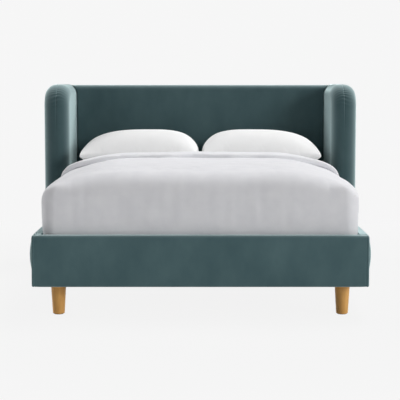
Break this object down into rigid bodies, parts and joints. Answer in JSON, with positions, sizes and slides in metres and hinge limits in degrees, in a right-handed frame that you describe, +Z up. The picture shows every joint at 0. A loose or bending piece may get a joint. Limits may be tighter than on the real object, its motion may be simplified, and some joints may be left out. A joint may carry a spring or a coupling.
{
  "type": "upholstered winged bed",
  "caption": "Velvet upholstered bed with a tall winged headboard, low padded rails, tapered oak legs and a slatted base, made up with mattress, tucked duvet and pillows.",
  "frame": {"origin": "on the floor under the middle of the whole bed", "axes": "+X to the right as seen from the foot, +Y from the foot to the headboard, +Z up"},
  "size_m": [1.9, 2.17, 1.104],
  "materials": {
    "velvet": "teal velvet pile",
    "lining_cloth": "black non-woven lining",
    "oak": "satin lacquered oak",
    "pine": "planed pine",
    "board": "raw board",
    "felt": "pressed felt",
    "black_plastic": "moulded",
    "black_steel": "black powder coat",
    "zinc_steel": "zinc plated",
    "mattress_cover": "quilted knit",
    "duvet_cotton": "pale grey-white cotton",
    "pillow_cotton": "white cotton"
  },
  "bodies": {
    "frame": {"back_lining": "lining_cloth", "centre_leg": "black_steel", "centre_rail": "pine", "centre_rail_cup_foot": "black_steel", "centre_rail_cup_head": "black_steel", "centre_rail_screws": "zinc_steel", "corner_block_foot_left": "pine", "corner_block_foot_right": "pine", "corner_block_head_left": "pine", "corner_block_head_right": "pine", "corner_bolts": "zinc_steel", "corner_bracket_foot_left": "black_steel", "corner_bracket_foot_right": "black_steel", "corner_bracket_head_left": "black_steel", "corner_bracket_head_right": "black_steel", "foot_rail_core": "board", "foot_rail_upholstery": "velvet", "headboard_core": "board", "headboard_upholstery": "velvet", "ledge_screws": "zinc_steel", "leg_foot_left": "oak", "leg_foot_right": "oak", "leg_glides": "felt", "leg_head_left": "oak", "leg_head_right": "oak", "leg_studs": "zinc_steel", "side_rail_core_left": "board", "side_rail_core_right": "board", "side_rail_upholstery_left": "velvet", "side_rail_upholstery_right": "velvet", "slat_01": "pine", "slat_02": "pine", "slat_03": "pine", "slat_04": "pine", "slat_05": "pine", "slat_06": "pine", "slat_07": "pine", "slat_08": "pine", "slat_09": "pine", "slat_10": "pine", "slat_11": "pine", "slat_12": "pine", "slat_13": "pine", "slat_14": "pine", "slat_ledge_left": "pine", "slat_ledge_right": "pine", "slat_screws": "zinc_steel", "wing_frame_left": "board", "wing_frame_right": "board", "wing_plate_screws": "zinc_steel", "wing_plates": "zinc_steel", "wing_upholstery_left": "velvet", "wing_upholstery_right": "velvet"},
    "mattress": {"mattress": "mattress_cover"},
    "duvet": {"duvet": "duvet_cotton"},
    "pillow_left": {"pillow_left": "pillow_cotton"},
    "pillow_right": {"pillow_right": "pillow_cotton"},
    "centre_foot": {"centre_foot": "black_plastic"}
  },
  "joints": [
    {"name": "mattress_lift", "type": "slide", "parent": "frame", "child": "mattress", "axis": [0, 0, 1], "range_m": [0, 0.85]},
    {"name": "duvet_lift", "type": "slide", "parent": "mattress", "child": "duvet", "axis": [0, 0, 1], "range_m": [0, 0.6]},
    {"name": "pillow_left_lift", "type": "slide", "parent": "mattress", "child": "pillow_left", "axis": [0, 0, 1], "range_m": [0, 0.6]},
    {"name": "pillow_right_lift", "type": "slide", "parent": "mattress", "child": "pillow_right", "axis": [0, 0, 1], "range_m": [0, 0.6]},
    {"name": "centre_foot_level", "type": "slide", "parent": "frame", "child": "centre_foot", "axis": [0, 0, 1], "range_m": [0, 0.015]}
  ]
}
